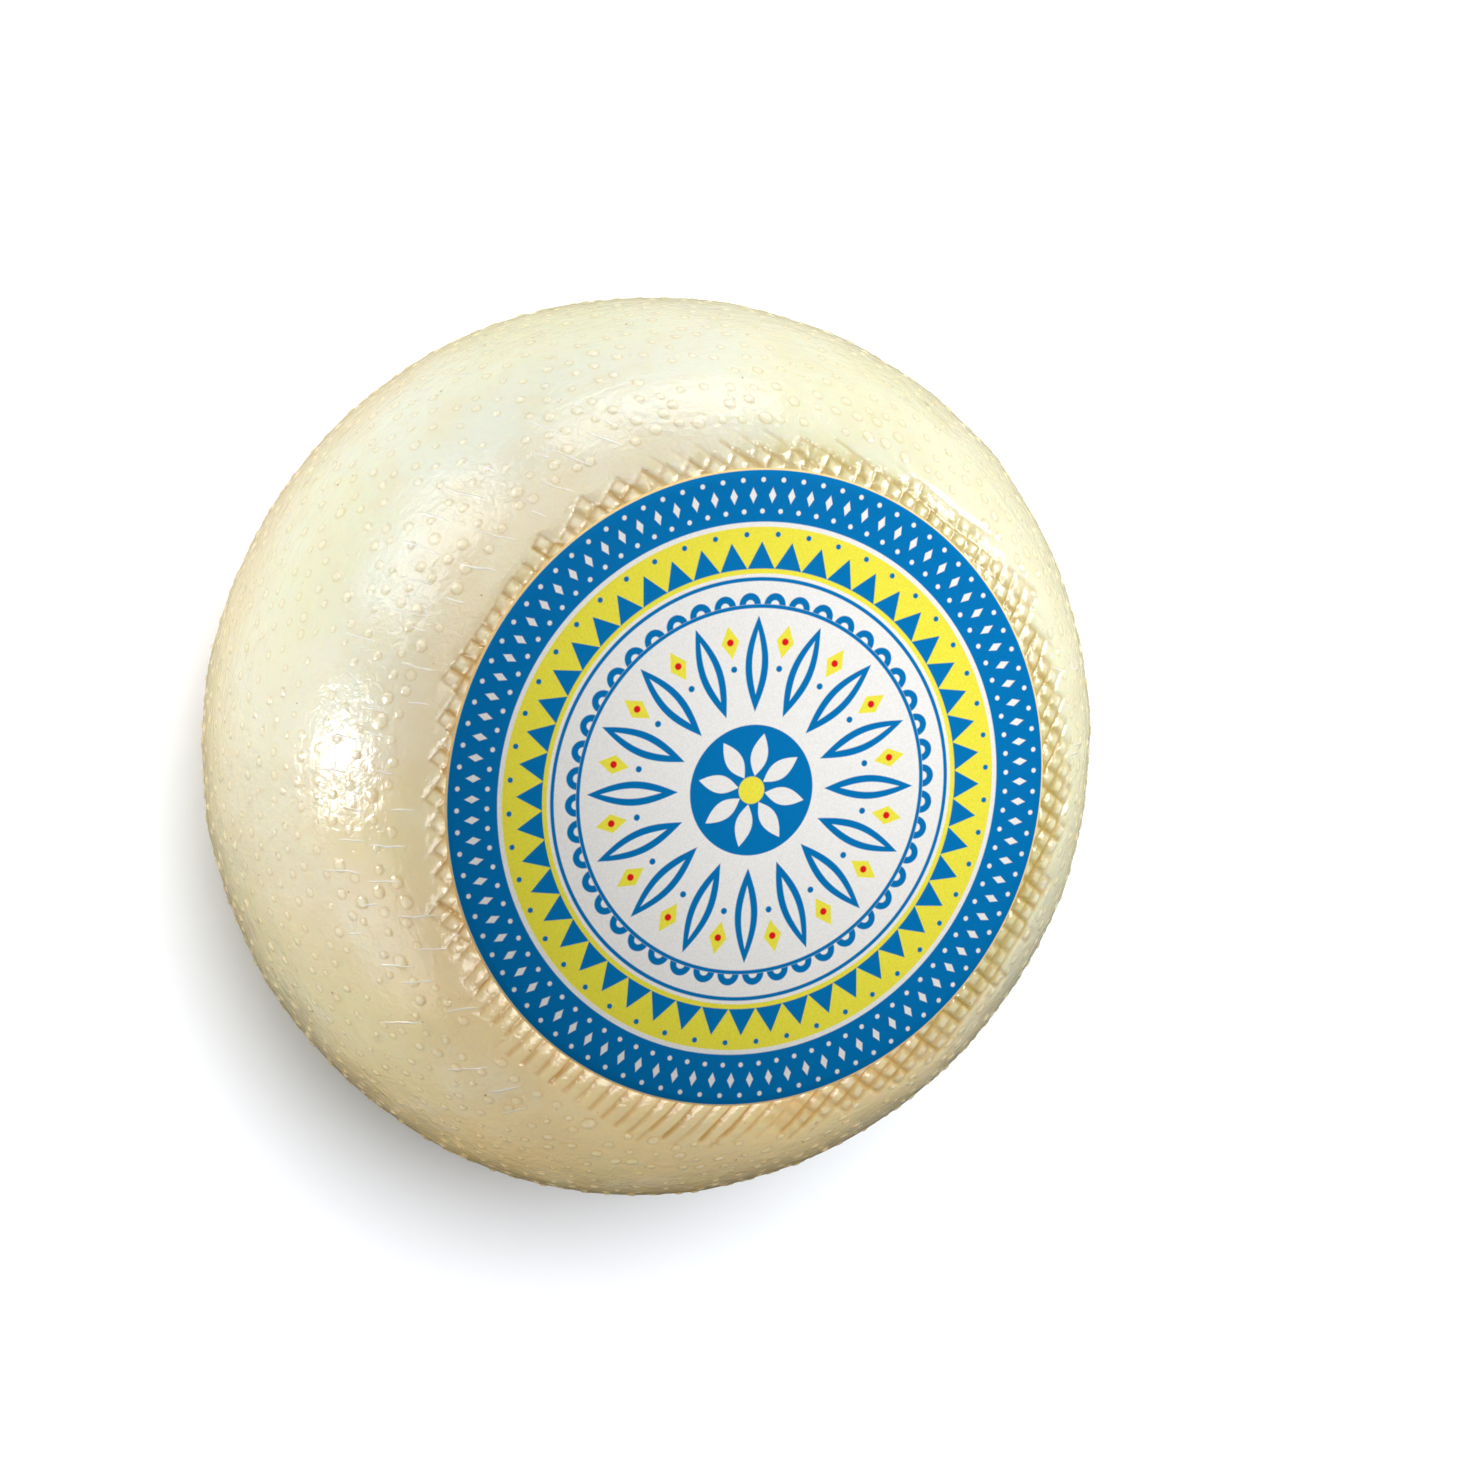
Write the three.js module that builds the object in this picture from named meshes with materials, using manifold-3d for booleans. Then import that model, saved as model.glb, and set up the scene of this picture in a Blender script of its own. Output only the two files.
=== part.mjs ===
// A whole wheel of fresh pecorino that lies on its back face, with its round paper label up.
// Millimetres, +Z up. The origin is the middle of the face that the wheel rests on.

import * as THREE from "three";
import { mergeVertices } from "three/addons/utils/BufferGeometryUtils.js";
import Module from "manifold-3d";

// Driving dimensions of the wheel
const WHEEL_RADIUS = 100;
const WHEEL_HEIGHT = 118;
const FACE_RADIUS = 66; // each face is flat out to here, and then rounds over into the bulge
const OUTWARD_POWER = 1.7; // how fast the rind leaves the face
const UPWARD_POWER = 1.95; // how fast it leaves the middle of the bulge

// Driving dimensions of the basket's imprint, which shows round the label
const WEAVE_PITCH = 3.8; // from one square pillow to the next
const WEAVE_DEPTH = 0.65; // from a pillow's top to the bottom of its grooves
const WEAVE_RADIUS = 76.8; // the basket's flat bottom reached out to here
const WEAVE_SHIFT = 3.0; // the imprint's middle lies this far from the wheel's axis, along +Y
const WEAVE_FADE = 4.5; // the imprint's outermost band, in which it grows shallow

// Driving dimensions of the label
const LABEL_RADIUS = 69;
const PAPER = 0.3;
const RIM_LIFT = 0.2; // the paper's rim stands this far off the tops of the pillows

// How finely round forms are cut
const COLUMNS = 72;
const FINE_STEPS = 6; // between the face and the middle of the shoulder, where the imprint is
const COARSE_STEPS = 5; // between the middle of the shoulder and the bulge
const BASE_STEPS = 8; // between the bulge and the base

// The wheel's broad unevenness: lobes round the bulge, each with its reach and the turn it starts at
const SWELLS = [
  { lobes: 2, reach: 0.4, start: 0.0, twist: 0.0 },
  { lobes: 3, reach: 0.35, start: -1.4, twist: 0.3 },
  { lobes: 5, reach: 0.2, start: -2.6, twist: -0.6 },
];

const HALF_HEIGHT = WHEEL_HEIGHT / 2;
const SHOULDER = WHEEL_RADIUS - FACE_RADIUS;
const WEAVE_START = LABEL_RADIUS - WEAVE_PITCH / 2; // the grooves run in under the label's rim

const wasm = await Module();
wasm.setup();

// The shoulder's curve: outward share ^ OUTWARD_POWER + upward share ^ UPWARD_POWER = 1.
// At turn 0 it is on the face, and at a quarter turn it is on the bulge's widest line.
function shoulderPoint(turn) {
  const out = Math.pow(Math.sin(turn), 2 / OUTWARD_POWER);
  const up = Math.pow(Math.max(Math.cos(turn), 0), 2 / UPWARD_POWER);
  return new THREE.Vector2(FACE_RADIUS + SHOULDER * out, HALF_HEIGHT * up);
}

// The even form's height above the base, on the labelled side, at a distance from the axis.
function faceHeight(radius) {
  const out = THREE.MathUtils.clamp((radius - FACE_RADIUS) / SHOULDER, 0, 1);
  const up = Math.pow(1 - Math.pow(out, OUTWARD_POWER), 1 / UPWARD_POWER);
  return HALF_HEIGHT * (1 + up);
}

// How steeply the even form falls away there, as fall over distance.
function faceFall(radius) {
  const step = 0.05;
  return (faceHeight(radius - step) - faceHeight(radius + step)) / (2 * step);
}

// How far the broad unevenness pushes the rind out: nothing on the faces, most on the bulge.
function swell(angle, height) {
  const rise = height / HALF_HEIGHT - 1;
  const share = 1 - rise * rise;
  let push = 0;
  for (const { lobes, reach, start, twist } of SWELLS) {
    push += reach * Math.cos(lobes * angle + start + twist * rise);
  }
  return share * push;
}

// How strong the basket's imprint is at a place on the face: 1 well inside it, 0 outside.
function weaveStrength(x, y) {
  if (Math.hypot(x, y) < WEAVE_START) return 0;
  const reach = Math.hypot(x, y - WEAVE_SHIFT);
  return 1 - THREE.MathUtils.smoothstep(reach, WEAVE_RADIUS - WEAVE_FADE, WEAVE_RADIUS);
}

// A repeatable random draw between 0 and 1.
function seededDraw(seed) {
  let state = seed;
  return () => {
    state = (state * 1664525 + 1013904223) % 4294967296;
    return state / 4294967296;
  };
}

// A closed form turned about +Z from a profile of (radius, height) points that runs from the top to the base.
function turned(profile) {
  const geometry = new THREE.LatheGeometry([...profile].reverse(), COLUMNS);
  return geometry.rotateX(Math.PI / 2);
}

// A closed geometry as a solid that can be joined to others.
function solidOf(geometry) {
  const bare = geometry.clone();
  bare.deleteAttribute("normal");
  bare.deleteAttribute("uv");
  const merged = mergeVertices(bare, 1e-4);
  return new wasm.Manifold(
    new wasm.Mesh({
      numProp: 3,
      vertProperties: new Float32Array(merged.attributes.position.array),
      triVerts: new Uint32Array(merged.index.array),
    }),
  );
}

// A joined solid as a geometry again.
function geometryOf(solid) {
  const mesh = solid.getMesh();
  const geometry = new THREE.BufferGeometry();
  geometry.setAttribute("position", new THREE.BufferAttribute(mesh.vertProperties, 3));
  geometry.setIndex(new THREE.BufferAttribute(mesh.triVerts, 1));
  const flat = geometry.toNonIndexed();
  flat.computeVertexNormals();
  return flat;
}

// The rind's profile: out along the labelled face, down into the grooves, over the bulge and in along the base.
function rindProfile() {
  const middle = Math.PI / 4;
  const points = [new THREE.Vector2(0, WHEEL_HEIGHT), new THREE.Vector2(FACE_RADIUS, WHEEL_HEIGHT)];
  const lip = WEAVE_START - 0.01;
  points.push(new THREE.Vector2(lip, faceHeight(lip)));
  points.push(new THREE.Vector2(WEAVE_START, faceHeight(WEAVE_START)));
  for (let step = 1; step <= FINE_STEPS + COARSE_STEPS; step++) {
    const fine = Math.min(step, FINE_STEPS) / FINE_STEPS;
    const coarse = Math.max(step - FINE_STEPS, 0) / COARSE_STEPS;
    const point = shoulderPoint(middle * (fine + coarse));
    if (point.x < WEAVE_START + 1) continue;
    points.push(new THREE.Vector2(point.x, HALF_HEIGHT + point.y));
  }
  for (let step = 1; step <= BASE_STEPS; step++) {
    const point = shoulderPoint((Math.PI / 2) * (1 - step / BASE_STEPS));
    points.push(new THREE.Vector2(point.x, HALF_HEIGHT - point.y));
  }
  points.push(new THREE.Vector2(0, 0));
  return points;
}

// The bare rind: the turned form, swollen unevenly, with the imprint's ring lowered to its grooves' bottom.
function rindForm() {
  const geometry = turned(rindProfile());
  const place = geometry.attributes.position;
  for (let i = 0; i < place.count; i++) {
    const x = place.getX(i);
    const y = place.getY(i);
    const z = place.getZ(i);
    const radius = Math.hypot(x, y);
    if (radius < FACE_RADIUS) continue;
    const wider = 1 + swell(Math.atan2(y, x), z) / radius;
    const onLabelSide = z > HALF_HEIGHT;
    const sunk = onLabelSide ? WEAVE_DEPTH * weaveStrength(x, y) : 0;
    place.setXYZ(i, x * wider, y * wider, z - sunk);
  }
  return geometry;
}

// One pillow of the imprint: a low four-sided frustum whose top is level with the rind round it.
function pillow(x, y, draw) {
  const root = 0.5; // how deep it is rooted in the rind
  const proud = WEAVE_DEPTH - 0.08 * (1 + draw());
  const foot = (WEAVE_PITCH / 2) * 0.9;
  const crown = (WEAVE_PITCH / 2) * (0.58 + 0.08 * draw());
  const height = proud + root;
  const geometry = new THREE.CylinderGeometry(
    crown * Math.SQRT2, foot * Math.SQRT2, height, 4, 1, false, Math.PI / 4,
  );
  geometry.rotateX(Math.PI / 2);
  geometry.translate(0, 0, height / 2 - root - WEAVE_DEPTH);
  const radius = Math.hypot(x, y);
  const fall = faceFall(radius);
  const outward = new THREE.Vector3((fall * x) / radius, (fall * y) / radius, 1).normalize();
  const lean = new THREE.Quaternion().setFromUnitVectors(new THREE.Vector3(0, 0, 1), outward);
  geometry.applyQuaternion(lean);
  geometry.translate(x, y, faceHeight(radius));
  return geometry;
}

// Every pillow that shows, or half shows, round the label, on the basket's square grid.
function pillows() {
  const draw = seededDraw(41);
  const solids = [];
  const reach = Math.ceil((WEAVE_RADIUS + WEAVE_SHIFT) / WEAVE_PITCH);
  for (let row = -reach; row <= reach; row++) {
    for (let column = -reach; column <= reach; column++) {
      const x = (column + 0.5) * WEAVE_PITCH;
      const y = (row + 0.5) * WEAVE_PITCH;
      const underLabel = Math.hypot(x, y) < WEAVE_START + 0.35 * WEAVE_PITCH;
      if (underLabel || weaveStrength(x, y) < 0.25) continue;
      solids.push(solidOf(pillow(x, y, draw)));
    }
  }
  return solids;
}

function cheeseNode() {
  let rind = solidOf(rindForm());
  rind = rind.add(wasm.Manifold.union(pillows()));
  const wax = new THREE.MeshStandardMaterial({ color: 0xeee9c8, roughness: 0.32, metalness: 0 });
  const mesh = new THREE.Mesh(geometryOf(rind), wax);
  mesh.name = "cheese";
  return mesh;
}

// The paper's underside height: flat on the face, then down over the shoulder, a little off the pillows.
function paperUnderside(radius) {
  const lift = RIM_LIFT * THREE.MathUtils.smoothstep(radius, FACE_RADIUS, LABEL_RADIUS - 1);
  return faceHeight(radius) + lift;
}

function labelNode() {
  const rimSteps = 4;
  const top = [new THREE.Vector2(0, WHEEL_HEIGHT + PAPER)];
  const underside = [new THREE.Vector2(0, WHEEL_HEIGHT)];
  for (let step = 0; step <= rimSteps; step++) {
    const radius = THREE.MathUtils.lerp(FACE_RADIUS, LABEL_RADIUS, step / rimSteps);
    top.push(new THREE.Vector2(radius, paperUnderside(radius) + PAPER));
    underside.push(new THREE.Vector2(radius, paperUnderside(radius)));
  }
  const print = new THREE.MeshStandardMaterial({ color: 0x0070b0, roughness: 0.6, metalness: 0 });
  const mesh = new THREE.Mesh(turned([...top, ...underside.reverse()]), print);
  mesh.name = "label";
  return mesh;
}

const wheel = new THREE.Group();
wheel.add(cheeseNode(), labelNode());

export default wheel;
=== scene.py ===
"""A whole wheel of fresh pecorino, lying on its back face with its round paper label up.

The rind is one closed surface: a bulging wheel with the basket's square imprint round the label, rows of
small blisters over the bulge, and pits. The label is a thin printed sheet that follows the face.
Metres throughout, apart from a few values marked as millimetres. The wheel's axis is +Z, and it rests on
z = 0.
"""
import math

import bpy
import numpy as np
from mathutils import Matrix, Vector


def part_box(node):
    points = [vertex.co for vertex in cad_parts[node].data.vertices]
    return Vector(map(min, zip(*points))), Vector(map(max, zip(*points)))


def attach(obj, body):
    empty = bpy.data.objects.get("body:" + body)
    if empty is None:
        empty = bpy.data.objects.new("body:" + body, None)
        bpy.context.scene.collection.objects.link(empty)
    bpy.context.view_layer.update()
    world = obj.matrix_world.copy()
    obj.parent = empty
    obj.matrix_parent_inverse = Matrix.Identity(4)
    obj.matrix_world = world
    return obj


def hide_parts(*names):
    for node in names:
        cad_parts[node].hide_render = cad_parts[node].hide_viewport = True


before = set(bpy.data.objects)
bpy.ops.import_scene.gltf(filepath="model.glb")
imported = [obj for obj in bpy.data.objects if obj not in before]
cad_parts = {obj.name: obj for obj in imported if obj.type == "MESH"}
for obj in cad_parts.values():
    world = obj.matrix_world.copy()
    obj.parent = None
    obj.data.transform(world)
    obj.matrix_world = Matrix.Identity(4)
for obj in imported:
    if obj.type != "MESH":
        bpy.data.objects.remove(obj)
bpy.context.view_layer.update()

MM = 0.001

# The wheel's form, as the frame has it
cheese_low, cheese_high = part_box("cheese")
_, label_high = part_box("label")
WHEEL_HEIGHT = cheese_high.z - cheese_low.z
HALF_HEIGHT = WHEEL_HEIGHT / 2
BULGE_RADIUS = 100 * MM
FACE_RADIUS = 66 * MM
OUTWARD_POWER = 1.7
UPWARD_POWER = 1.95
# Lobes of the bulge's unevenness, each with its count round the wheel, reach, start and turn with height
SWELLS = ((2, 0.4 * MM, 0.0, 0.0), (3, 0.35 * MM, -1.4, 0.3), (5, 0.2 * MM, -2.6, -0.6))

# The basket's imprint: a square grid of pillows between grooves, on the face and on the base
WEAVE_PITCH = 3.8 * MM
WEAVE_DEPTH = 0.44 * MM
WEAVE_RADIUS = 75.8 * MM
WEAVE_FADE = 1.8 * MM
GROOVE_REACH = 1.15 * MM  # from a groove's middle to where a pillow starts
PILLOW_CROWN = 0.18 * MM
BASE_WEAVE_DEPTH = 0.36 * MM
FACE_WEAVE_SHIFT = (0.0, 3.0 * MM)
BASE_WEAVE_SHIFT = (-2.0 * MM, -1.5 * MM)
WEAVE_LIMIT = 90 * MM  # no imprint is worked out past this radius
LONG_GROOVES = 2.5 * MM  # how much further the grooves run on the long side
LONG_SIDE = (math.cos(math.radians(12)), math.sin(math.radians(12)))
OPEN_SIDE = (math.cos(math.radians(-50)), math.sin(math.radians(-50)))
CELLS = 64  # squares of the grid each way, more than the wheel is across
CELL_BLEND = 0.22  # share of a square over which its values pass into the next one's

# The label
LABEL_RADIUS = label_high.x
PAPER = 0.3 * MM
RIM_LIFT = 0.2 * MM
WEAVE_START = LABEL_RADIUS - WEAVE_PITCH / 2

# The blisters over the bulge. Radii and heights are in millimetres, from the least to the most
BLISTERS_ROUND = 100
BLISTER_ROW = 4.7 * MM
BLISTER_START = 79 * MM
BLISTER_RADII = (0.75, 1.25)
BLISTER_HEIGHTS = (0.16, 0.36)
MISSING_SHARE = 0.12
BLOWN_SHARE = 0.07  # of them are blown up bigger than the rest

# The pits. Radii and depths are in millimetres, from the least to the most
PITS = 420
PIT_RADII = (0.3, 0.75)
PIT_DEPTHS = (0.06, 0.17)

# Waves of the bulge, each with its height, longest and shortest wave, and seed
WAVES = ((0.16 * MM, 42 * MM, 16 * MM, 31), (0.045 * MM, 11 * MM, 5 * MM, 32))

# The spot beside the wheel that the rind's hairlines fan out from
HAIRLINE_FAN = (-76 * MM, 105 * MM)

# How finely the rind is worked out, and how many triangles it keeps
COLUMNS = 1792
RIND_STEP = 0.36 * MM
BASE_STEP = 0.5 * MM
RIND_TRIANGLES = 192000

# The photograph's view of the wheel
PHOTO_SIDE = 1476  # pixels
WHEEL_SPOT = (648.8, 744.5)  # the wheel's middle, in pixels
PIXELS_PER_RADIUS = 448.3
CAMERA_DISTANCE = 1.2
AXIS_TILT = math.radians(23.8)
AXIS_ROLL = math.radians(24.0)
BASKET_TURN = math.radians(10.25)


def smooth(value, low, high):
    """0 below low, 1 above high, and 3 t^2 - 2 t^3 between them."""
    t = np.clip((value - low) / (high - low), 0, 1)
    return t * t * (3 - 2 * t)


def ripples(x, y, z, longest, shortest, seed, waves=26):
    """An even random field, about 0 with a spread of 0.7: the sum of plane sine waves in random headings."""
    draws = np.random.default_rng(seed)
    heading = draws.normal(size=(waves, 3))
    heading /= np.linalg.norm(heading, axis=1)[:, None]
    length = np.exp(draws.uniform(np.log(shortest), np.log(longest), waves))
    start = draws.uniform(0, 2 * np.pi, waves)
    total = np.zeros_like(x)
    for (hx, hy, hz), wave, phase in zip(heading, length, start):
        total += np.sin((x * hx + y * hy + z * hz) * (2 * np.pi / wave) + phase)
    return total / math.sqrt(waves)


# The wheel's even form

def shoulder(turn):
    """Radius and height over the wheel's middle, from the face's edge (0) over the bulge to the base's edge
    (pi): outward share ^ OUTWARD_POWER + upward share ^ UPWARD_POWER = 1."""
    out = np.sin(turn) ** (2 / OUTWARD_POWER)
    up = np.sign(np.cos(turn)) * np.abs(np.cos(turn)) ** (2 / UPWARD_POWER)
    return FACE_RADIUS + (BULGE_RADIUS - FACE_RADIUS) * out, HALF_HEIGHT * up


def face_height(radius):
    """The even form's height over the base on the labelled side."""
    out = np.clip((radius - FACE_RADIUS) / (BULGE_RADIUS - FACE_RADIUS), 0, 1)
    return HALF_HEIGHT * (1 + (1 - out ** OUTWARD_POWER) ** (1 / UPWARD_POWER))


def meridian():
    """The line from the face's middle over the bulge to the base's middle, as radius, height over the base,
    and the way along it. Rows are RIND_STEP apart over the bulge and BASE_STEP apart under the base."""
    turn = np.linspace(0, np.pi, 20001)
    turn[-1] = np.pi - 1e-9
    radius, height = shoulder(turn)
    way = np.concatenate([[0], np.cumsum(np.hypot(np.diff(radius), np.diff(height)))])
    steps = int(round(way[-1] / RIND_STEP))
    even = np.interp(np.linspace(0, way[-1], steps + 1), way, turn)
    over_radius, over_height = shoulder(even)
    face = FACE_RADIUS * np.array([0.03, 0.3, 0.6, 0.85, 0.95])
    base = np.arange(FACE_RADIUS - BASE_STEP, 2 * MM, -BASE_STEP)
    radius = np.concatenate([face, over_radius, base])
    height = np.concatenate([np.full(len(face), HALF_HEIGHT), over_height, np.full(len(base), -HALF_HEIGHT)])
    way = np.concatenate([[face[0]], face[0] + np.cumsum(np.hypot(np.diff(radius), np.diff(height)))])
    return radius, height + HALF_HEIGHT, way


def outward(radius, height):
    """The meridian's outward direction: its slope turned a quarter, as shares of radius and height."""
    along_radius = np.gradient(radius)
    along_height = np.gradient(height)
    length = np.hypot(along_radius, along_height)
    return -along_height / length, along_radius / length


def rise_share(height):
    """1 at the bulge's widest line, falling to 0 on either face, as one less the square of the rise."""
    return 1 - (height / HALF_HEIGHT - 1) ** 2


def swell(angle, height):
    """How far the broad unevenness pushes the bulge out: the sum of lobes round the wheel, each a cosine of
    the angle that starts a little further round with height, times the share that is 0 on the two faces."""
    rise = height / HALF_HEIGHT - 1
    push = sum(reach * np.cos(lobes * angle + start + twist * rise) for lobes, reach, start, twist in SWELLS)
    return rise_share(height) * push


# The rind's relief

def over_cells(a, b, values):
    """A value for each square of the grid, even over it and blended by a smooth step where two meet."""
    left, low = np.floor(a - 0.5), np.floor(b - 0.5)
    s = smooth(a - 0.5 - left, 0.5 - CELL_BLEND, 0.5 + CELL_BLEND)
    t = smooth(b - 0.5 - low, 0.5 - CELL_BLEND, 0.5 + CELL_BLEND)
    i = np.clip(left.astype(int) + CELLS // 2, 0, CELLS - 2)
    j = np.clip(low.astype(int) + CELLS // 2, 0, CELLS - 2)
    lower = values[j, i] * (1 - s) + values[j, i + 1] * s
    upper = values[j + 1, i] * (1 - s) + values[j + 1, i + 1] * s
    return lower * (1 - t) + upper * t


def basket_imprint(x, y, shift, depth, seed):
    """Height, groove share and pillow share of the imprint. Two families of straight grooves cross at right
    angles, a pitch apart, each groove with a depth of its own, and end where the pillows along them end.
    Between them stand pillows: domed, falling by a smooth step to the groove's floor, each with a height
    and a lean of its own. At LONG_SIDE the grooves along X run out further and those along Y are shallow;
    opposite, it is those along Y that run out further. At OPEN_SIDE the outermost pillows have no groove on
    their outer side."""
    draws = np.random.default_rng(seed)
    sunk, leaning, frayed = 0.06 * MM, 0.05, 0.7 * MM
    stand = -np.abs(draws.normal(0, sunk, (CELLS, CELLS)))
    lean_a, lean_b = draws.normal(0, leaning, (2, CELLS, CELLS))
    ragged = draws.normal(0, frayed, (CELLS, CELLS))
    deep_a, deep_b = draws.uniform(0.72, 1.12, (2, CELLS))

    middle = (np.arange(CELLS) - CELLS // 2 + 0.5) * WEAVE_PITCH
    middle_x, middle_y = np.meshgrid(middle, middle)
    away = np.hypot(middle_x - shift[0], middle_y - shift[1]) + ragged
    heading = (middle_x * LONG_SIDE[0] + middle_y * LONG_SIDE[1]) / np.hypot(middle_x, middle_y)
    east, west = smooth(heading, 0.72, 0.95), np.maximum(-heading, 0) ** 2
    end_a = WEAVE_RADIUS + 0.8 * LONG_GROOVES * west
    end_b = WEAVE_RADIUS + LONG_GROOVES * east
    cells_a = (1 - smooth(away, end_a - WEAVE_FADE, end_a)) * (1 - 0.8 * east)
    cells_b = 1 - smooth(away, end_b - WEAVE_FADE, end_b)

    flat = np.zeros_like(x)
    bend, longest, shortest = 0.16 * MM, 22 * MM, 7 * MM
    a = (x + bend * ripples(x, y, flat, longest, shortest, seed + 1)) / WEAVE_PITCH
    b = (y + bend * ripples(x, y, flat, longest, shortest, seed + 2)) / WEAVE_PITCH
    across, up = (a - np.floor(a) - 0.5) * WEAVE_PITCH, (b - np.floor(b) - 0.5) * WEAVE_PITCH
    line_a = deep_a[np.clip(np.round(a).astype(int) + CELLS // 2, 0, CELLS - 1)]
    line_b = deep_b[np.clip(np.round(b).astype(int) + CELLS // 2, 0, CELLS - 1)]
    open_side = (x * OPEN_SIDE[0] + y * OPEN_SIDE[1]) / np.hypot(x, y)
    least = 0.5 * smooth(open_side, 0.1, 0.5)
    strong_a = smooth(over_cells(a, b, cells_a), least, 1)
    strong_b = smooth(over_cells(a, b, cells_b), least, 1)
    groove_a = line_a * strong_a * (1 - smooth(WEAVE_PITCH / 2 - np.abs(across), 0, GROOVE_REACH))
    groove_b = line_b * strong_b * (1 - smooth(WEAVE_PITCH / 2 - np.abs(up), 0, GROOVE_REACH))
    groove = np.maximum(groove_a, groove_b) + 0.2 * np.minimum(groove_a, groove_b)

    strong = np.minimum(strong_a, strong_b)
    dome = (1 - (2 * across / WEAVE_PITCH) ** 2) * (1 - (2 * up / WEAVE_PITCH) ** 2)
    tilted = over_cells(a, b, stand) + over_cells(a, b, lean_a) * across + over_cells(a, b, lean_b) * up
    height = -depth * groove + strong * ((1 - np.minimum(groove, 1)) * tilted + PILLOW_CROWN * (dome - 1))
    return height, np.clip(groove, 0, 1) ** 2, strong * dome ** 2


def blister_field(angle, way, radius, start, end):
    """Height and cover of the blisters. Rows run round the bulge with every second one shifted half a step,
    and each blister strays a little from its place. Over it the height is h (1 - q^2.4), with q the
    distance over the blister's radius, and a shallow moat runs round it."""
    draws = np.random.default_rng(7)
    rows = int((end - start) / BLISTER_ROW) + 1
    shape = (rows, BLISTERS_ROUND)
    stray_round = draws.normal(0, 0.8 * MM, shape).clip(-1.4 * MM, 1.4 * MM)
    stray_down = draws.normal(0, 0.65 * MM, shape).clip(-1.2 * MM, 1.2 * MM)
    size = draws.uniform(*BLISTER_RADII, shape) * MM
    tall = draws.uniform(*BLISTER_HEIGHTS, shape) * MM * (draws.uniform(size=shape) > MISSING_SHARE)
    blown = draws.uniform(size=shape) > 1 - BLOWN_SHARE
    blown_wider, blown_taller = 1.25, 1.2
    size = np.where(blown, size * blown_wider, size)
    tall = np.where(blown, tall * blown_taller, tall)
    moat_deep, moat_middle, moat_wide = 0.25, 1.15, 0.14
    bigger_at_ends, end_rows = 0.25, 5

    place = (way - start) / BLISTER_ROW
    nearest = np.round(place)
    height = np.zeros_like(angle)
    cover = np.zeros_like(angle)
    for step in (-1, 0, 1):
        row = nearest + step
        inside = (row >= 0) & (row < rows)
        r = np.clip(row, 0, rows - 1).astype(int)
        turn = angle / (2 * np.pi) * BLISTERS_ROUND - 0.5 * (r % 2)
        c = np.round(turn).astype(int)
        c_wrapped = c % BLISTERS_ROUND
        aside = (turn - c) * 2 * np.pi * radius / BLISTERS_ROUND - stray_round[r, c_wrapped]
        along = way - start - r * BLISTER_ROW - stray_down[r, c_wrapped]
        end_gain = 1 + bigger_at_ends * (1 - smooth(np.minimum(r, rows - 1 - r), 0, end_rows))
        q = np.hypot(aside, along) / (size[r, c_wrapped] * end_gain)
        dome = np.clip(1 - q ** 2.4, 0, None)
        moat = -moat_deep * np.exp(-((q - moat_middle) / moat_wide) ** 2)
        height += inside * tall[r, c_wrapped] * (dome + moat)
        cover = np.maximum(cover, inside * (tall[r, c_wrapped] > 0) * dome)
    return height, cover


def pits(angle, way, radius, columns, start, end):
    """Small dents scattered over the rind: each is a bowl, d (1 - q^2)^2, longer one way than the other."""
    draws = np.random.default_rng(99)
    height = np.zeros_like(angle)
    for _ in range(PITS):
        centre_way = draws.uniform(start, end)
        centre_angle = draws.uniform(0, 2 * np.pi)
        size = draws.uniform(*PIT_RADII) * MM
        deep = draws.uniform(*PIT_DEPTHS) * MM
        stretch = draws.uniform(1.0, 2.2)
        slant = draws.uniform(0, np.pi)
        reach = size * stretch
        rows = np.nonzero(np.abs(way - centre_way) < reach)[0]
        if len(rows) == 0:
            continue
        ring = radius[rows[0]]
        half = int(reach / ring / (2 * np.pi) * columns) + 1
        middle = int(centre_angle / (2 * np.pi) * columns)
        cols = np.arange(middle - half, middle + half + 1) % columns
        patch = np.ix_(rows, cols)
        aside = np.angle(np.exp(1j * (angle[patch] - centre_angle))) * ring
        along = (way[rows] - centre_way)[:, None]
        p = aside * np.cos(slant) + along * np.sin(slant)
        q = -aside * np.sin(slant) + along * np.cos(slant)
        bowl = np.clip(1 - (p / reach) ** 2 - (q / size) ** 2, 0, None) ** 2
        height[patch] -= deep * bowl
    return height


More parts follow.
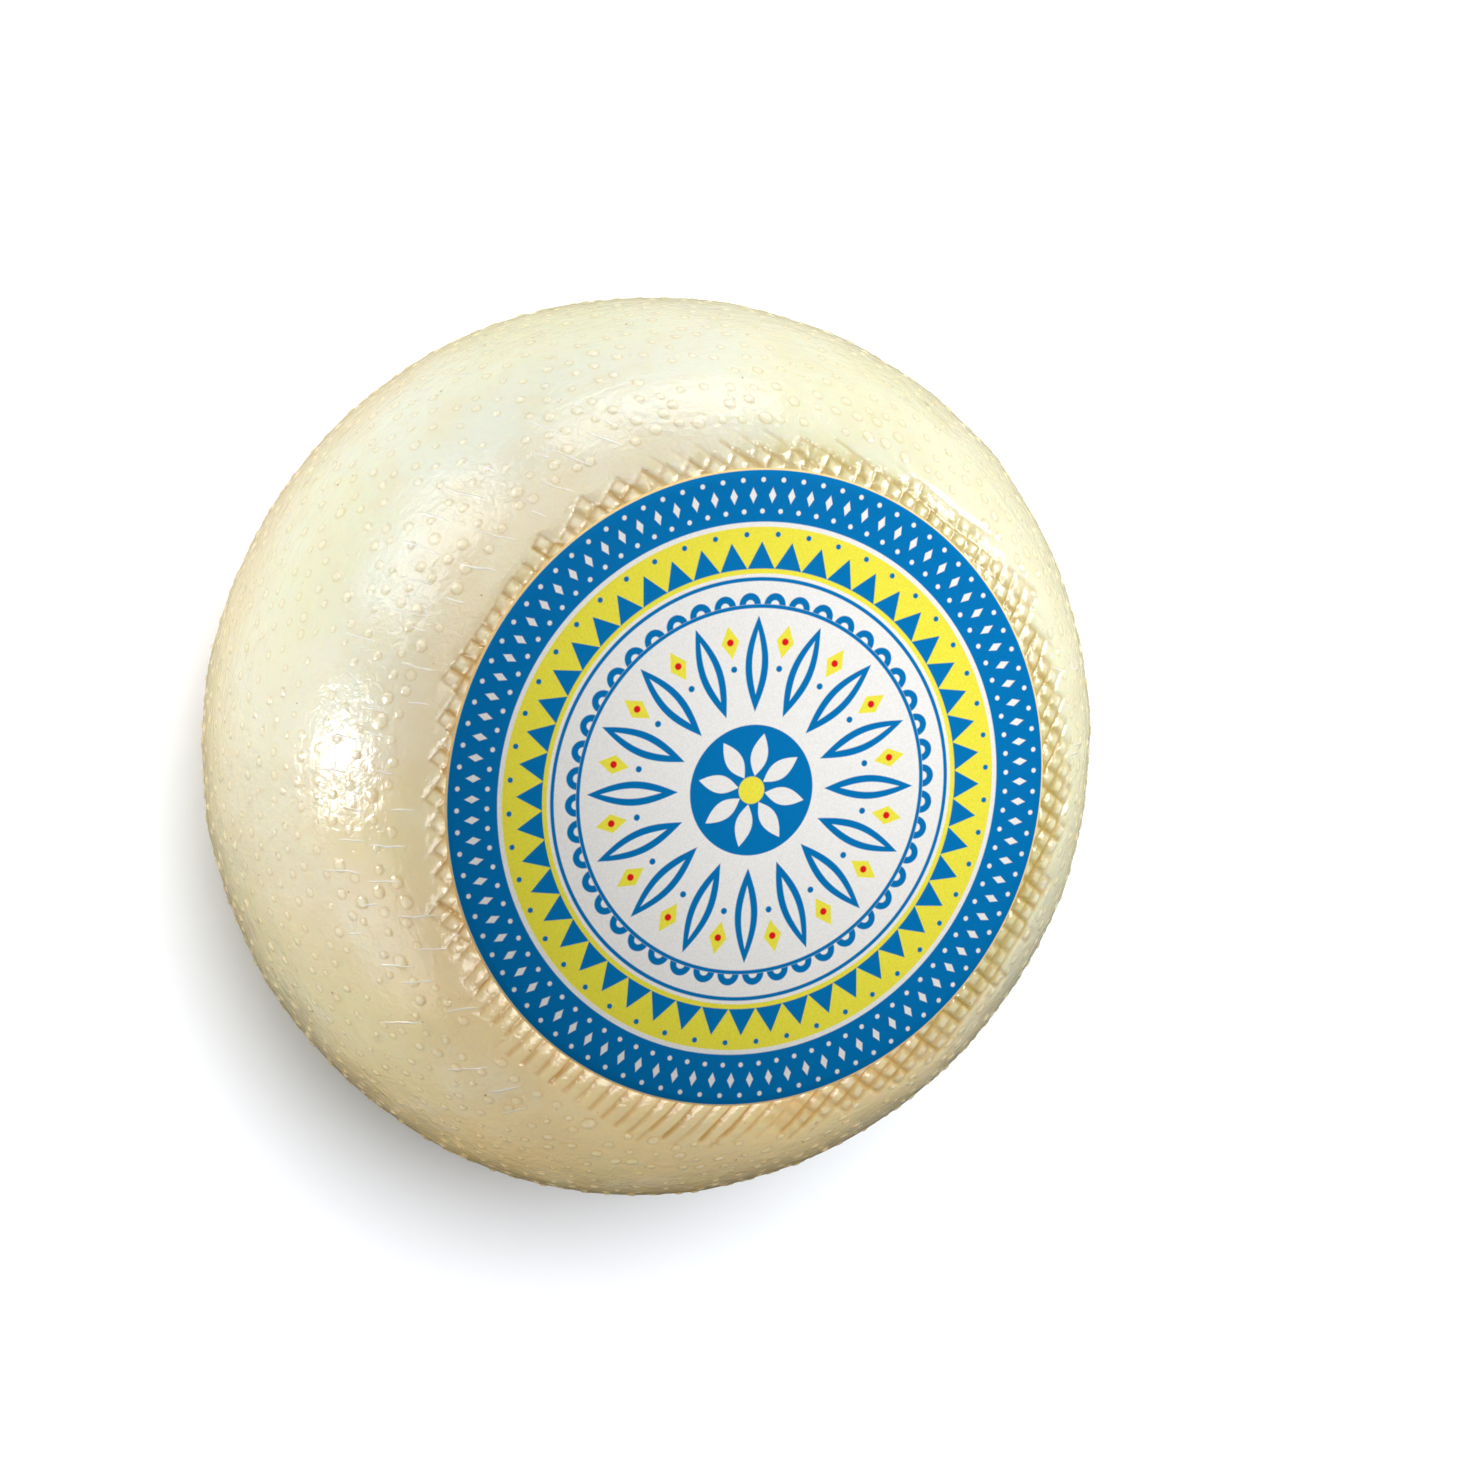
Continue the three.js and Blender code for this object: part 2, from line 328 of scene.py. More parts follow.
def rind_surface():
    """The rind's points, row by row from the face's middle to the base's, with their groove and raised
    shares. Each point is the even form's, swollen, then moved along its outward direction by the relief's
    height."""
    radius, height, way = meridian()
    out_radius, out_height = outward(radius, height)
    angle = np.broadcast_to(np.arange(COLUMNS) * (2 * np.pi / COLUMNS), (len(radius), COLUMNS)).copy()
    r, h, w = radius[:, None], height[:, None], way[:, None]
    grown = r + swell(angle, h)
    x, y = grown * np.cos(angle), grown * np.sin(angle)
    z = np.broadcast_to(h, x.shape)

    over = (radius >= FACE_RADIUS * 0.999) & (height > 0) & (height < WHEEL_HEIGHT)
    upper = over & (height > HALF_HEIGHT)
    start, end = way[over][0], way[over][-1]
    bulge_start = np.interp(BLISTER_START, radius[upper], way[upper])
    bulge_end = start + end - bulge_start

    relief = np.zeros_like(x)
    groove = np.zeros_like(x)
    pillow = np.zeros_like(x)
    face_rows = np.nonzero((radius > WEAVE_START) & (radius < WEAVE_LIMIT) & (height > HALF_HEIGHT))[0]
    base_rows = np.nonzero((radius < WEAVE_LIMIT) & (height < HALF_HEIGHT))[0]
    for rows, shift, depth, seed in ((face_rows, FACE_WEAVE_SHIFT, WEAVE_DEPTH, 3),
                                     (base_rows, BASE_WEAVE_SHIFT, BASE_WEAVE_DEPTH, 13)):
        relief[rows], groove[rows], pillow[rows] = basket_imprint(x[rows], y[rows], shift, depth, seed)
    edge = 0.2 * MM
    past_label = smooth(r, WEAVE_START - edge, WEAVE_START + edge)
    relief = np.where(h > HALF_HEIGHT, relief * past_label, relief)

    on_bulge = 1 - (1 - rise_share(h)) ** 6
    weave_free = 1 - smooth(groove, 0.0, 0.25)
    domes, cover = blister_field(angle, np.broadcast_to(w, x.shape), r, bulge_start, bulge_end)
    relief += domes * weave_free
    for tall, longest, shortest, seed in WAVES:
        relief += tall * on_bulge * ripples(x, y, z, longest, shortest, seed)
    smooth_end = 8 * MM
    relief += pits(angle, way, radius, COLUMNS, start + smooth_end, end - smooth_end)

    x = x + relief * out_radius[:, None] * np.cos(angle)
    y = y + relief * out_radius[:, None] * np.sin(angle)
    z = np.maximum(z + relief * out_height[:, None], 0)
    pillow_share = 0.8
    return np.stack([x, y, z], -1), groove, np.maximum(cover * weave_free, pillow_share * pillow)


def closed_wheel_mesh(name, points, shares):
    """A closed mesh from rows of points round an axis: two triangles a cell, and a fan at either end."""
    rows, columns, _ = points.shape
    ends = np.array([[0, 0, points[0, :, 2].mean()], [0, 0, points[-1, :, 2].mean()]])
    places = np.concatenate([points.reshape(-1, 3), ends]).astype(np.float32)
    first = np.arange(rows - 1)[:, None] * columns
    here = np.arange(columns)[None, :]
    after = (here + 1) % columns
    a, b, c, d = first + here, first + after, first + columns + after, first + columns + here
    sides = [np.stack([a, d, c], -1).reshape(-1, 3), np.stack([a, c, b], -1).reshape(-1, 3)]
    last = (rows - 1) * columns
    top = np.stack([np.full(columns, rows * columns), here[0], after[0]], -1)
    bottom = np.stack([np.full(columns, rows * columns + 1), last + after[0], last + here[0]], -1)
    triangles = np.concatenate([*sides, top, bottom]).astype(np.int32)
    mesh = bpy.data.meshes.new(name)
    mesh.vertices.add(len(places))
    mesh.vertices.foreach_set("co", places.ravel())
    mesh.loops.add(triangles.size)
    mesh.loops.foreach_set("vertex_index", triangles.ravel())
    mesh.polygons.add(len(triangles))
    mesh.polygons.foreach_set("loop_start", np.arange(len(triangles), dtype=np.int32) * 3)
    mesh.update(calc_edges=True)
    for share_name, values in shares.items():
        attribute = mesh.attributes.new(share_name, "FLOAT", "POINT")
        filled = np.concatenate([values.ravel(), [0, 0]]).astype(np.float32)
        attribute.data.foreach_set("value", filled)
    mesh.shade_smooth()
    return mesh


def place(name, mesh, finish):
    """A mesh as an object at the origin, unturned, with one finish."""
    piece = bpy.data.objects.new(name, mesh)
    mesh.materials.append(finish)
    bpy.context.scene.collection.objects.link(piece)
    return piece


def thinned(piece, triangles):
    """The piece with its mesh collapsed to about that many triangles, most of them where it bends."""
    modifier = piece.modifiers.new("thin", "DECIMATE")
    modifier.ratio = min(1.0, triangles / len(piece.data.polygons))
    graph = bpy.context.evaluated_depsgraph_get()
    mesh = bpy.data.meshes.new_from_object(piece.evaluated_get(graph))
    piece.modifiers.clear()
    fine = piece.data
    mesh.name = piece.name
    piece.data = mesh
    bpy.data.meshes.remove(fine)
    mesh.shade_smooth()
    return piece


# Finishes

class Nodes:
    """Short calls for the nodes of one finish."""

    def __init__(self, name):
        self.material = bpy.data.materials.new(name)
        self.material.use_nodes = True
        self.tree = self.material.node_tree
        self.shader = self.tree.nodes["Principled BSDF"]

    def add(self, kind, **sockets):
        """A node with its inputs set by name; _ stands for a space."""
        node = self.tree.nodes.new(kind)
        for socket, value in sockets.items():
            self.set(node.inputs[socket.replace("_", " ")], value)
        return node

    def set(self, socket, value):
        """Links another node's output to the socket, or puts a plain value in it."""
        if isinstance(value, bpy.types.NodeSocket):
            self.tree.links.new(value, socket)
        else:
            socket.default_value = value

    def math(self, operation, first, second=0.0, third=0.0):
        """One sum on numbers."""
        node = self.tree.nodes.new("ShaderNodeMath")
        node.operation = operation
        for socket, value in zip(node.inputs, (first, second, third)):
            self.set(socket, value)
        return node.outputs[0]

    def ramp(self, value, low, high, to_low=0.0, to_high=1.0):
        """to_low below low and to_high above high, with a smooth step between."""
        node = self.tree.nodes.new("ShaderNodeMapRange")
        node.interpolation_type = "SMOOTHSTEP"
        for socket, number in zip(node.inputs, (value, low, high, to_low, to_high)):
            self.set(socket, number)
        return node.outputs[0]

    def blend(self, share, first, second):
        """The first colour at share 0 and the second at 1."""
        node = self.tree.nodes.new("ShaderNodeMix")
        node.data_type = "RGBA"
        self.set(node.inputs[0], share)
        self.set(node.inputs[6], first)
        self.set(node.inputs[7], second)
        return node.outputs[2]

    def times(self, first, second):
        """The two colours multiplied."""
        node = self.tree.nodes.new("ShaderNodeMix")
        node.data_type = "RGBA"
        node.blend_type = "MULTIPLY"
        node.inputs[0].default_value = 1.0
        self.set(node.inputs[6], first)
        self.set(node.inputs[7], second)
        return node.outputs[2]

    def noise(self, place, scale, detail=2.0, roughness=0.5, distortion=0.0):
        """A random field about 0.5, with scale features to the metre."""
        node = self.add("ShaderNodeTexNoise", Vector=place, Scale=scale, Detail=detail)
        node.inputs["Roughness"].default_value = roughness
        node.inputs["Distortion"].default_value = distortion
        return node.outputs["Fac"]

    def length(self, x, y):
        """How far a place is from where both are 0."""
        return self.math("SQRT", self.math("ADD", self.math("MULTIPLY", x, x), self.math("MULTIPLY", y, y)))

    def towards(self, x, y, radius, azimuth):
        """1 on the side of the wheel at that azimuth, in degrees, 0 a quarter turn off it, -1 opposite."""
        a = math.radians(azimuth)
        along = self.math("MULTIPLY_ADD", x, math.cos(a), self.math("MULTIPLY", y, math.sin(a)))
        return self.math("DIVIDE", along, radius)

    def attribute(self, name):
        """A share that the mesh carries at its points."""
        node = self.tree.nodes.new("ShaderNodeAttribute")
        node.attribute_name = name
        return node.outputs["Fac"]

    def place(self):
        """Where on the piece it is, in metres."""
        return self.tree.nodes.new("ShaderNodeTexCoord").outputs["Object"]

    def parts(self, vector):
        """A vector's three numbers."""
        return self.add("ShaderNodeSeparateXYZ", Vector=vector).outputs


def colour(red, green, blue):
    """A screen colour, 0 to 255 a channel, as the light shares that a shader takes."""
    screen = np.array([red, green, blue]) / 255
    light = np.where(screen <= 0.04045, screen / 12.92, ((screen + 0.055) / 1.055) ** 2.4)
    return (*light.tolist(), 1.0)


def hairlines(n, place, count, middle):
    """Short raised lines, 1 on the line and 0 off it. They fan out from a spot beside the wheel, cut into
    equal sectors with one slightly wavering line each. Each line has its own middle radius and length, and
    may be missing; most are on the side away from the spot."""
    waver_scale, waver_turns = 110.0, 0.32
    stray, least_reach, more_reach = 0.006, 0.0010, 0.0030
    core, rim = 0.00004, 0.00026
    x, y, _ = n.parts(place)
    radius = n.length(x, y)
    fan_x, fan_y = n.math("SUBTRACT", x, HAIRLINE_FAN[0]), n.math("SUBTRACT", y, HAIRLINE_FAN[1])
    waver = n.math("MULTIPLY_ADD", n.noise(place, waver_scale, 2.0), waver_turns, -waver_turns / 2)
    sector = n.math("MULTIPLY", n.math("ARCTAN2", fan_y, fan_x), count / (2 * math.pi))
    turn = n.math("ADD", sector, waver)
    number = n.add("ShaderNodeCombineXYZ", X=n.math("FLOOR", turn), Y=middle)
    draws = n.add("ShaderNodeTexWhiteNoise", Vector=number.outputs[0])
    draw_a, draw_b, draw_c = n.parts(draws.outputs["Color"])
    aside = n.math("ABSOLUTE", n.math("SUBTRACT", n.math("FRACT", turn), 0.5))
    aside = n.math("MULTIPLY", n.math("MULTIPLY", aside, 2 * math.pi / count), n.length(fan_x, fan_y))
    own_middle = n.math("MULTIPLY_ADD", draw_a, stray, middle - stray / 2)
    away = n.math("ABSOLUTE", n.math("SUBTRACT", radius, own_middle))
    reach = n.math("MULTIPLY_ADD", draw_b, more_reach, least_reach)
    along = n.ramp(n.math("DIVIDE", away, reach), 0.5, 1.0, 1.0, 0.0)
    scarce = n.ramp(n.towards(x, y, radius, -65), 0.3, 0.75, 0.94, 0.15)
    there = n.math("GREATER_THAN", draw_c, scarce)
    return n.math("MULTIPLY", n.ramp(aside, core, rim, 1.0, 0.0), n.math("MULTIPLY", along, there))


def rind_tone(n, place, raised, hairline):
    """The rind's colour, laid in turn: ivory that deepens to amber towards one side, a painted shade; tan
    near the faces and under the bulge on a side away from the lamps, painted shade too; cream near the face
    on a further side, a painted pool of light; a greener side with an olive band round the label; clouds,
    pale patches and mottle; deep tan in the grooves and round the blisters' feet, painted shade; paler on
    what stands up and on the hairlines, painted highlights; and brown specks."""
    ivory, painted_shade_amber = colour(229, 231, 214), colour(250, 204, 96)
    painted_shade_tan, painted_light_cream = colour(232, 198, 142), colour(255, 228, 170)
    green, olive = colour(230, 230, 197), colour(210, 203, 143)
    cloud, chalk, buff = colour(228, 228, 184), colour(240, 236, 214), colour(226, 208, 160)
    painted_shade_groove_tone, painted_shade_foot_tone = colour(230, 202, 140), colour(232, 214, 170)
    painted_highlight_tone, line, speck = colour(250, 238, 212), colour(255, 252, 244), colour(170, 130, 80)

    x, y, z = n.parts(place)
    radius = n.length(x, y)
    wander = n.math("MULTIPLY_ADD", n.noise(place, 40.0, 4.0), 0.03, -0.015)
    # Painted shade: the colour deepens to amber towards the side of the wheel that lies in shade.
    toward_painted_shade = n.math("ADD", n.math("MULTIPLY_ADD", y, 0.43, x), n.math("MULTIPLY", wander, 2.0))
    tone = n.blend(n.ramp(toward_painted_shade, -0.060, 0.214), ivory, painted_shade_amber)

    from_face = n.math("ADD", n.math("ABSOLUTE", n.math("SUBTRACT", z, HALF_HEIGHT)), wander)
    # Painted shade: tan near the faces on the side away from the lamps.
    near_face = n.ramp(from_face, HALF_HEIGHT * 0.60, HALF_HEIGHT, 0.0, 0.46)
    painted_shade_side = n.ramp(n.towards(x, y, radius, -60), -0.3, 0.8)
    tone = n.blend(n.math("MULTIPLY", near_face, painted_shade_side), tone, painted_shade_tan)
    # Painted shade: tan under the bulge on the same side.
    under = n.ramp(n.math("ADD", z, wander), HALF_HEIGHT * 0.75, HALF_HEIGHT * 1.15, 0.4, 0.0)
    tone = n.blend(n.math("MULTIPLY", under, painted_shade_side), tone, painted_shade_tan)
    # Painted light: a cream pool near the face on one side.
    near_face = n.ramp(from_face, HALF_HEIGHT * 0.72, HALF_HEIGHT * 0.98, 0.0, 0.7)
    painted_light_side = n.ramp(n.towards(x, y, radius, 26), 0.5, 1.0)
    tone = n.blend(n.math("MULTIPLY", near_face, painted_light_side), tone, painted_light_cream)
    green_side = n.towards(x, y, radius, 145)
    tone = n.blend(n.ramp(green_side, 0.2, 0.9, 0.0, 0.7), tone, green)
    band = n.math("MULTIPLY", n.ramp(radius, 0.0725, 0.0760, 0.9, 0.0), n.ramp(green_side, 0.1, 0.7))
    tone = n.blend(band, tone, olive)

    tone = n.blend(n.ramp(n.noise(place, 20.0, 3.0), 0.42, 0.70, 0.0, 0.45), tone, cloud)
    tone = n.blend(n.ramp(n.noise(place, 55.0, 4.0, 0.6, 0.6), 0.50, 0.75, 0.0, 0.35), tone, chalk)
    tone = n.blend(n.ramp(n.noise(place, 90.0, 5.0, 0.6), 0.45, 0.75, 0.0, 0.30), tone, buff)

    # Painted shade: deep tan down in the grooves.
    tone = n.blend(n.attribute("groove"), tone, n.times(tone, painted_shade_groove_tone))
    # Painted shade: a darker ring round the feet of the blisters and pillows.
    painted_shade_foot_share = n.math("MULTIPLY", n.ramp(raised, 0.02, 0.2, 0.0, 0.5), n.ramp(raised, 0.25, 0.6, 1.0, 0.0))
    tone = n.blend(painted_shade_foot_share, tone, n.times(tone, painted_shade_foot_tone))
    # Painted highlight: paler on the blisters and pillows that stand up.
    tone = n.blend(n.math("MULTIPLY", raised, 0.4), tone, painted_highlight_tone)
    # Painted highlight: the hairlines paler than the rind round them.
    tone = n.blend(n.math("MULTIPLY", hairline, 0.9), tone, line)
    return n.blend(n.ramp(n.noise(place, 700.0, 1.0), 0.78, 0.82, 0.0, 0.8), tone, speck)


def rind_grain(n, place, hairline):
    """The fine relief, in metres: a grain, pimples, a softer ripple, streaks that run round the wheel, and
    the hairlines. The streaks' noise is stretched round: its place is the bearing and a multiple of the
    height."""
    grain, pimple, ripple, streak, line = 0.00002, 0.00008, 0.00017, 0.00018, 0.00014
    x, y, z = n.parts(place)
    radius = n.length(x, y)
    ring = n.add("ShaderNodeCombineXYZ", X=n.math("DIVIDE", x, radius), Y=n.math("DIVIDE", y, radius),
                 Z=n.math("MULTIPLY", z, 60.0))
    height = n.math("MULTIPLY", n.noise(place, 1500.0, 2.0), grain)
    height = n.math("MULTIPLY_ADD", n.noise(place, 900.0, 2.0), pimple, height)
    height = n.math("MULTIPLY_ADD", n.noise(place, 430.0, 3.0, 0.5, 1.0), ripple, height)
    height = n.math("MULTIPLY_ADD", n.noise(ring.outputs[0], 9.0, 4.0, 0.6), streak, height)
    height = n.math("MULTIPLY_ADD", hairline, line, height)
    return n.add("ShaderNodeBump", Strength=1.0, Distance=1.0, Height=height).outputs[0]


def rind_finish():
    """Moist waxy rind: a soft milky body under a clear gloss, both with the same fine relief."""
    n = Nodes("rind")
    place = n.place()
    hairline = n.math("ADD", hairlines(n, place, 170, 0.0795), hairlines(n, place, 190, 0.0855))
    relief = rind_grain(n, place, hairline)
    n.set(n.shader.inputs["Base Color"], rind_tone(n, place, n.attribute("raised"), hairline))
    n.set(n.shader.inputs["Normal"], relief)
    n.set(n.shader.inputs["Coat Normal"], relief)
    n.set(n.shader.inputs["Roughness"], n.ramp(n.noise(place, 240.0, 3.0), 0.3, 0.7, 0.28, 0.42))
    n.shader.inputs["Coat Weight"].default_value = 1.0
    n.shader.inputs["Coat IOR"].default_value = 1.6
    n.shader.inputs["Coat Roughness"].default_value = 0.07
    n.shader.inputs["IOR"].default_value = 1.42
    n.shader.inputs["Subsurface Weight"].default_value = 0.6
    n.shader.inputs["Subsurface Radius"].default_value = (1.0, 0.72, 0.36)
    n.shader.inputs["Subsurface Scale"].default_value = 3.0 * MM
    return n.material


def label_print():
    """Satin paper printed in rings, each a band of the radius, with small shapes repeated round it."""
    n = Nodes("label_paper")
    place = n.place()
    x, y, _ = n.parts(place)
    share = n.math("DIVIDE", n.length(x, y), LABEL_RADIUS)
    angle = n.math("DIVIDE", n.math("ARCTAN2", y, x), 2 * math.pi)
    edge = 0.0022  # half of a print edge's softness, in shares of the label's radius

    white = colour(245, 244, 241)
    blue = colour(0, 118, 186)
    yellow = colour(246, 236, 74)
    red = colour(230, 24, 34)
    margin = colour(255, 222, 152)

    def band(inner, outer):
        """A ring between two shares of the label's radius."""
        rise = n.ramp(share, inner - edge, inner + edge)
        fall = n.ramp(share, outer - edge, outer + edge, 1.0, 0.0)
        return n.math("MULTIPLY", rise, fall)

    def across(count, shift=0.0):
        """Distance from the nearest of count spokes, in shares of the label's radius, with its sign."""
        turn = n.math("MULTIPLY_ADD", angle, count, shift)
        aside = n.math("SUBTRACT", n.math("FRACT", turn), 0.5)
        return n.math("MULTIPLY", n.math("MULTIPLY", aside, 2 * math.pi / count), share)

    def dots(count, middle, size, shift=0.0):
        """Round dots on a ring."""
        away = n.length(across(count, shift), n.math("SUBTRACT", share, middle))
        return n.ramp(away, size - edge, size + edge, 1.0, 0.0)

    def lozenges(count, middle, wide, tall, shift=0.0):
        """Diamonds on a ring: the shares of half their width and half their height add up to under 1."""
        u = n.math("DIVIDE", n.math("ABSOLUTE", across(count, shift)), wide)
        v = n.math("DIVIDE", n.math("ABSOLUTE", n.math("SUBTRACT", share, middle)), tall)
        soft = edge / min(wide, tall)
        return n.ramp(n.math("ADD", u, v), 1 - soft, 1 + soft, 1.0, 0.0)

    def scallops(count, painted_shade_foot_share, size, shift=0.0):
        """Half discs that stand on a ring and point outwards."""
        return n.math("MULTIPLY", dots(count, painted_shade_foot_share, size, shift), band(painted_shade_foot_share, 2.0))

    def teeth(count, inner, outer, shift=0.0):
        """Triangles that stand on the inner ring and point outwards."""
        u = n.math("ABSOLUTE", across(count, shift))
        left = n.math("DIVIDE", n.math("SUBTRACT", outer, share), outer - inner)
        half = math.pi * inner / count
        gap = n.math("SUBTRACT", n.math("MULTIPLY", left, half), u)
        return n.math("MULTIPLY", n.ramp(gap, -edge, edge), band(inner, outer))

    def petals(count, inner, outer, wide, shift=0.0):
        """Leaves pointed at both ends: as wide as a sine arch over their length."""
        u = n.math("ABSOLUTE", across(count, shift))
        along = n.math("DIVIDE", n.math("SUBTRACT", share, inner), outer - inner)
        inside = n.math("MINIMUM", n.math("MAXIMUM", along, 0.0), 1.0)
        arch = n.math("SINE", n.math("MULTIPLY", inside, math.pi))
        gap = n.math("SUBTRACT", n.math("MULTIPLY", arch, wide), u)
        return n.math("MULTIPLY", n.ramp(gap, -edge, edge), band(inner, outer))

    layers = (
        (band(0.835, 0.995), blue),
        (dots(90, 0.965, 0.0075), white),
        (lozenges(90, 0.917, 0.012, 0.024, 0.5), white),
        (dots(90, 0.868, 0.0075), white),
        (band(0.675, 0.820), yellow),
        (teeth(48, 0.690, 0.775), blue),
        (dots(48, 0.797, 0.0085, 0.5), blue),
        (band(0.652, 0.664), blue),
        (scallops(44, 0.580, 0.036), blue),
        (scallops(44, 0.580, 0.014), white),
        (band(0.568, 0.580), blue),
        (petals(16, 0.245, 0.545, 0.038), blue),
        (petals(16, 0.300, 0.500, 0.016), white),
        (lozenges(16, 0.470, 0.030, 0.052, 0.5), yellow),
        (dots(16, 0.470, 0.011, 0.5), red),
        (dots(16, 0.385, 0.010, 0.5), blue),
        (band(-1.0, 0.205), blue),
        (petals(8, 0.045, 0.180, 0.028), white),
        (band(-1.0, 0.043), yellow),
        (band(0.995, 2.0), margin),
    )
    ink = white
    for mask, layer in layers:
        ink = n.blend(mask, ink, layer)
    fibre = n.ramp(n.noise(place, 2600.0, 2.0, 0.7), 0.3, 0.7, 1.0, 0.90)
    n.set(n.shader.inputs["Base Color"], n.times(ink, fibre))

    grain = n.noise(place, 1800.0, 3.0, 0.6)
    bump = n.add("ShaderNodeBump", Strength=1.0, Distance=1.0, Height=n.math("MULTIPLY", grain, 0.000006))
    n.set(n.shader.inputs["Normal"], bump.outputs[0])
    n.set(n.shader.inputs["Roughness"], n.ramp(n.noise(place, 60.0, 2.0), 0.3, 0.7, 0.50, 0.60))
    n.shader.inputs["Specular IOR Level"].default_value = 0.02
    return n.material


def floor_finish():
    """Plain pale board, with the faintest grain."""
    n = Nodes("floor")
    tone = n.ramp(n.noise(n.place(), 30.0, 2.0), 0.3, 0.7)
    n.set(n.shader.inputs["Base Color"], n.blend(tone, (0.86, 0.89, 0.95, 1), (0.87, 0.90, 0.96, 1)))
    n.shader.inputs["Roughness"].default_value = 0.9
    n.shader.inputs["Specular IOR Level"].default_value = 0.1
    return n.material


# The pieces

def make_rind():
    """The rind's surface as one closed mesh, thinned."""
    points, groove, raised = rind_surface()
    mesh = closed_wheel_mesh("rind", points, {"groove": groove, "raised": raised})
    piece = thinned(place("rind", mesh, rind_finish()), RIND_TRIANGLES)
    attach(piece, "root")
    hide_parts("cheese")
    return piece


def make_label():
    """The sheet's top and underside. Its height follows the face and shoulder, with the rim lifted a little
    and a slight waviness there; the top is a paper's thickness above the underside."""
    columns = 512
    flat_part, bent_part = np.linspace(0.02, 0.94, 24), np.linspace(0.95, 1.0, 14)
    rings = np.concatenate([flat_part, bent_part]) * LABEL_RADIUS
    angle = np.broadcast_to(np.arange(columns) * (2 * np.pi / columns), (len(rings), columns))
    radius = rings[:, None]
    rim = smooth(radius, FACE_RADIUS, LABEL_RADIUS - 1 * MM)
    wave = 0.5 + 0.5 * np.cos(11 * angle + 1.0) * np.cos(7 * angle)
    glue = 0.02 * MM
    lift = RIM_LIFT * rim * (0.5 + 0.2 * wave) + glue
    underside = face_height(radius) + lift
    x, y = radius * np.cos(angle), radius * np.sin(angle)
    top = np.stack([x, y, underside + PAPER], -1)
    below = np.stack([x, y, underside], -1)[::-1]
    mesh = closed_wheel_mesh("paper_label", np.concatenate([top, below]), {})
    mesh.set_sharp_from_angle(angle=math.radians(40))
    piece = place("paper_label", mesh, label_print())
    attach(piece, "root")
    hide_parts("label")
    return piece


def make_floor():
    """A wide flat board. No gloss shows it: what stands for it there is the surroundings' lower half."""
    half = 3.0
    mesh = bpy.data.meshes.new("floor")
    corners = [(-half, -half, 0), (half, -half, 0), (half, half, 0), (-half, half, 0)]
    mesh.from_pydata(corners, [], [(0, 1, 2, 3)])
    floor = place("floor", mesh, floor_finish())
    floor.visible_glossy = False
    return floor


# Light and camera

def bearing(azimuth, elevation):
    """A unit direction from degrees round from +X and degrees above the floor."""
    a, e = math.radians(azimuth), math.radians(elevation)
    return Vector((math.cos(a) * math.cos(e), math.sin(a) * math.cos(e), math.sin(e)))


def add_lamp(name, kind, direction, spot, distance, power, lit, shaded_by=None):
    """A lamp at a distance from a spot, facing it, that lights only the pieces in lit, and is shaded by the
    same pieces alone unless others are given."""
    light = bpy.data.lights.new(name, kind)
    light.energy = power
    lamp = bpy.data.objects.new(name, light)
    lamp.location = Vector(spot) + direction * distance
    lamp.rotation_mode = "QUATERNION"
    lamp.rotation_quaternion = direction.to_track_quat("Z", "Y")
    lamp.visible_camera = False
    lamp.light_linking.receiver_collection = lit
    lamp.light_linking.blocker_collection = shaded_by or lit
    bpy.context.scene.collection.objects.link(lamp)
    return lamp


def softbox(name, azimuth, elevation, distance, wide, tall, power, lit, round_edge=False):
    """An even panel that faces the wheel's middle."""
    lamp = add_lamp(name, "AREA", bearing(azimuth, elevation), (0, 0, 0.06), distance, power, lit)
    lamp.data.shape = "ELLIPSE" if round_edge else "RECTANGLE"
    lamp.data.size, lamp.data.size_y = wide, tall
    return lamp


def glint(name, azimuth, elevation, distance, wide, tall, power, lit):
    """A small fierce panel that shows in the gloss alone, as sparks on whatever slopes towards it."""
    lamp = softbox(name, azimuth, elevation, distance, wide, tall, power, lit, round_edge=True)
    lamp.visible_diffuse = False


def group(name, pieces):
    """A set of pieces that a lamp can be kept to."""
    members = bpy.data.collections.new(name)
    for piece in pieces:
        members.objects.link(piece)
    return members


def spotlight(name, azimuth, elevation, spot, reach, power, lit):
    """A soft pool of light, brightest at the spot and gone at its reach, from a metre away."""
    lamp = add_lamp(name, "SPOT", bearing(azimuth, elevation), spot, 1.0, power, lit)
    lamp.data.spot_size = 2 * math.atan(reach)
    lamp.data.spot_blend = 1.0
    lamp.data.shadow_soft_size = 0.08


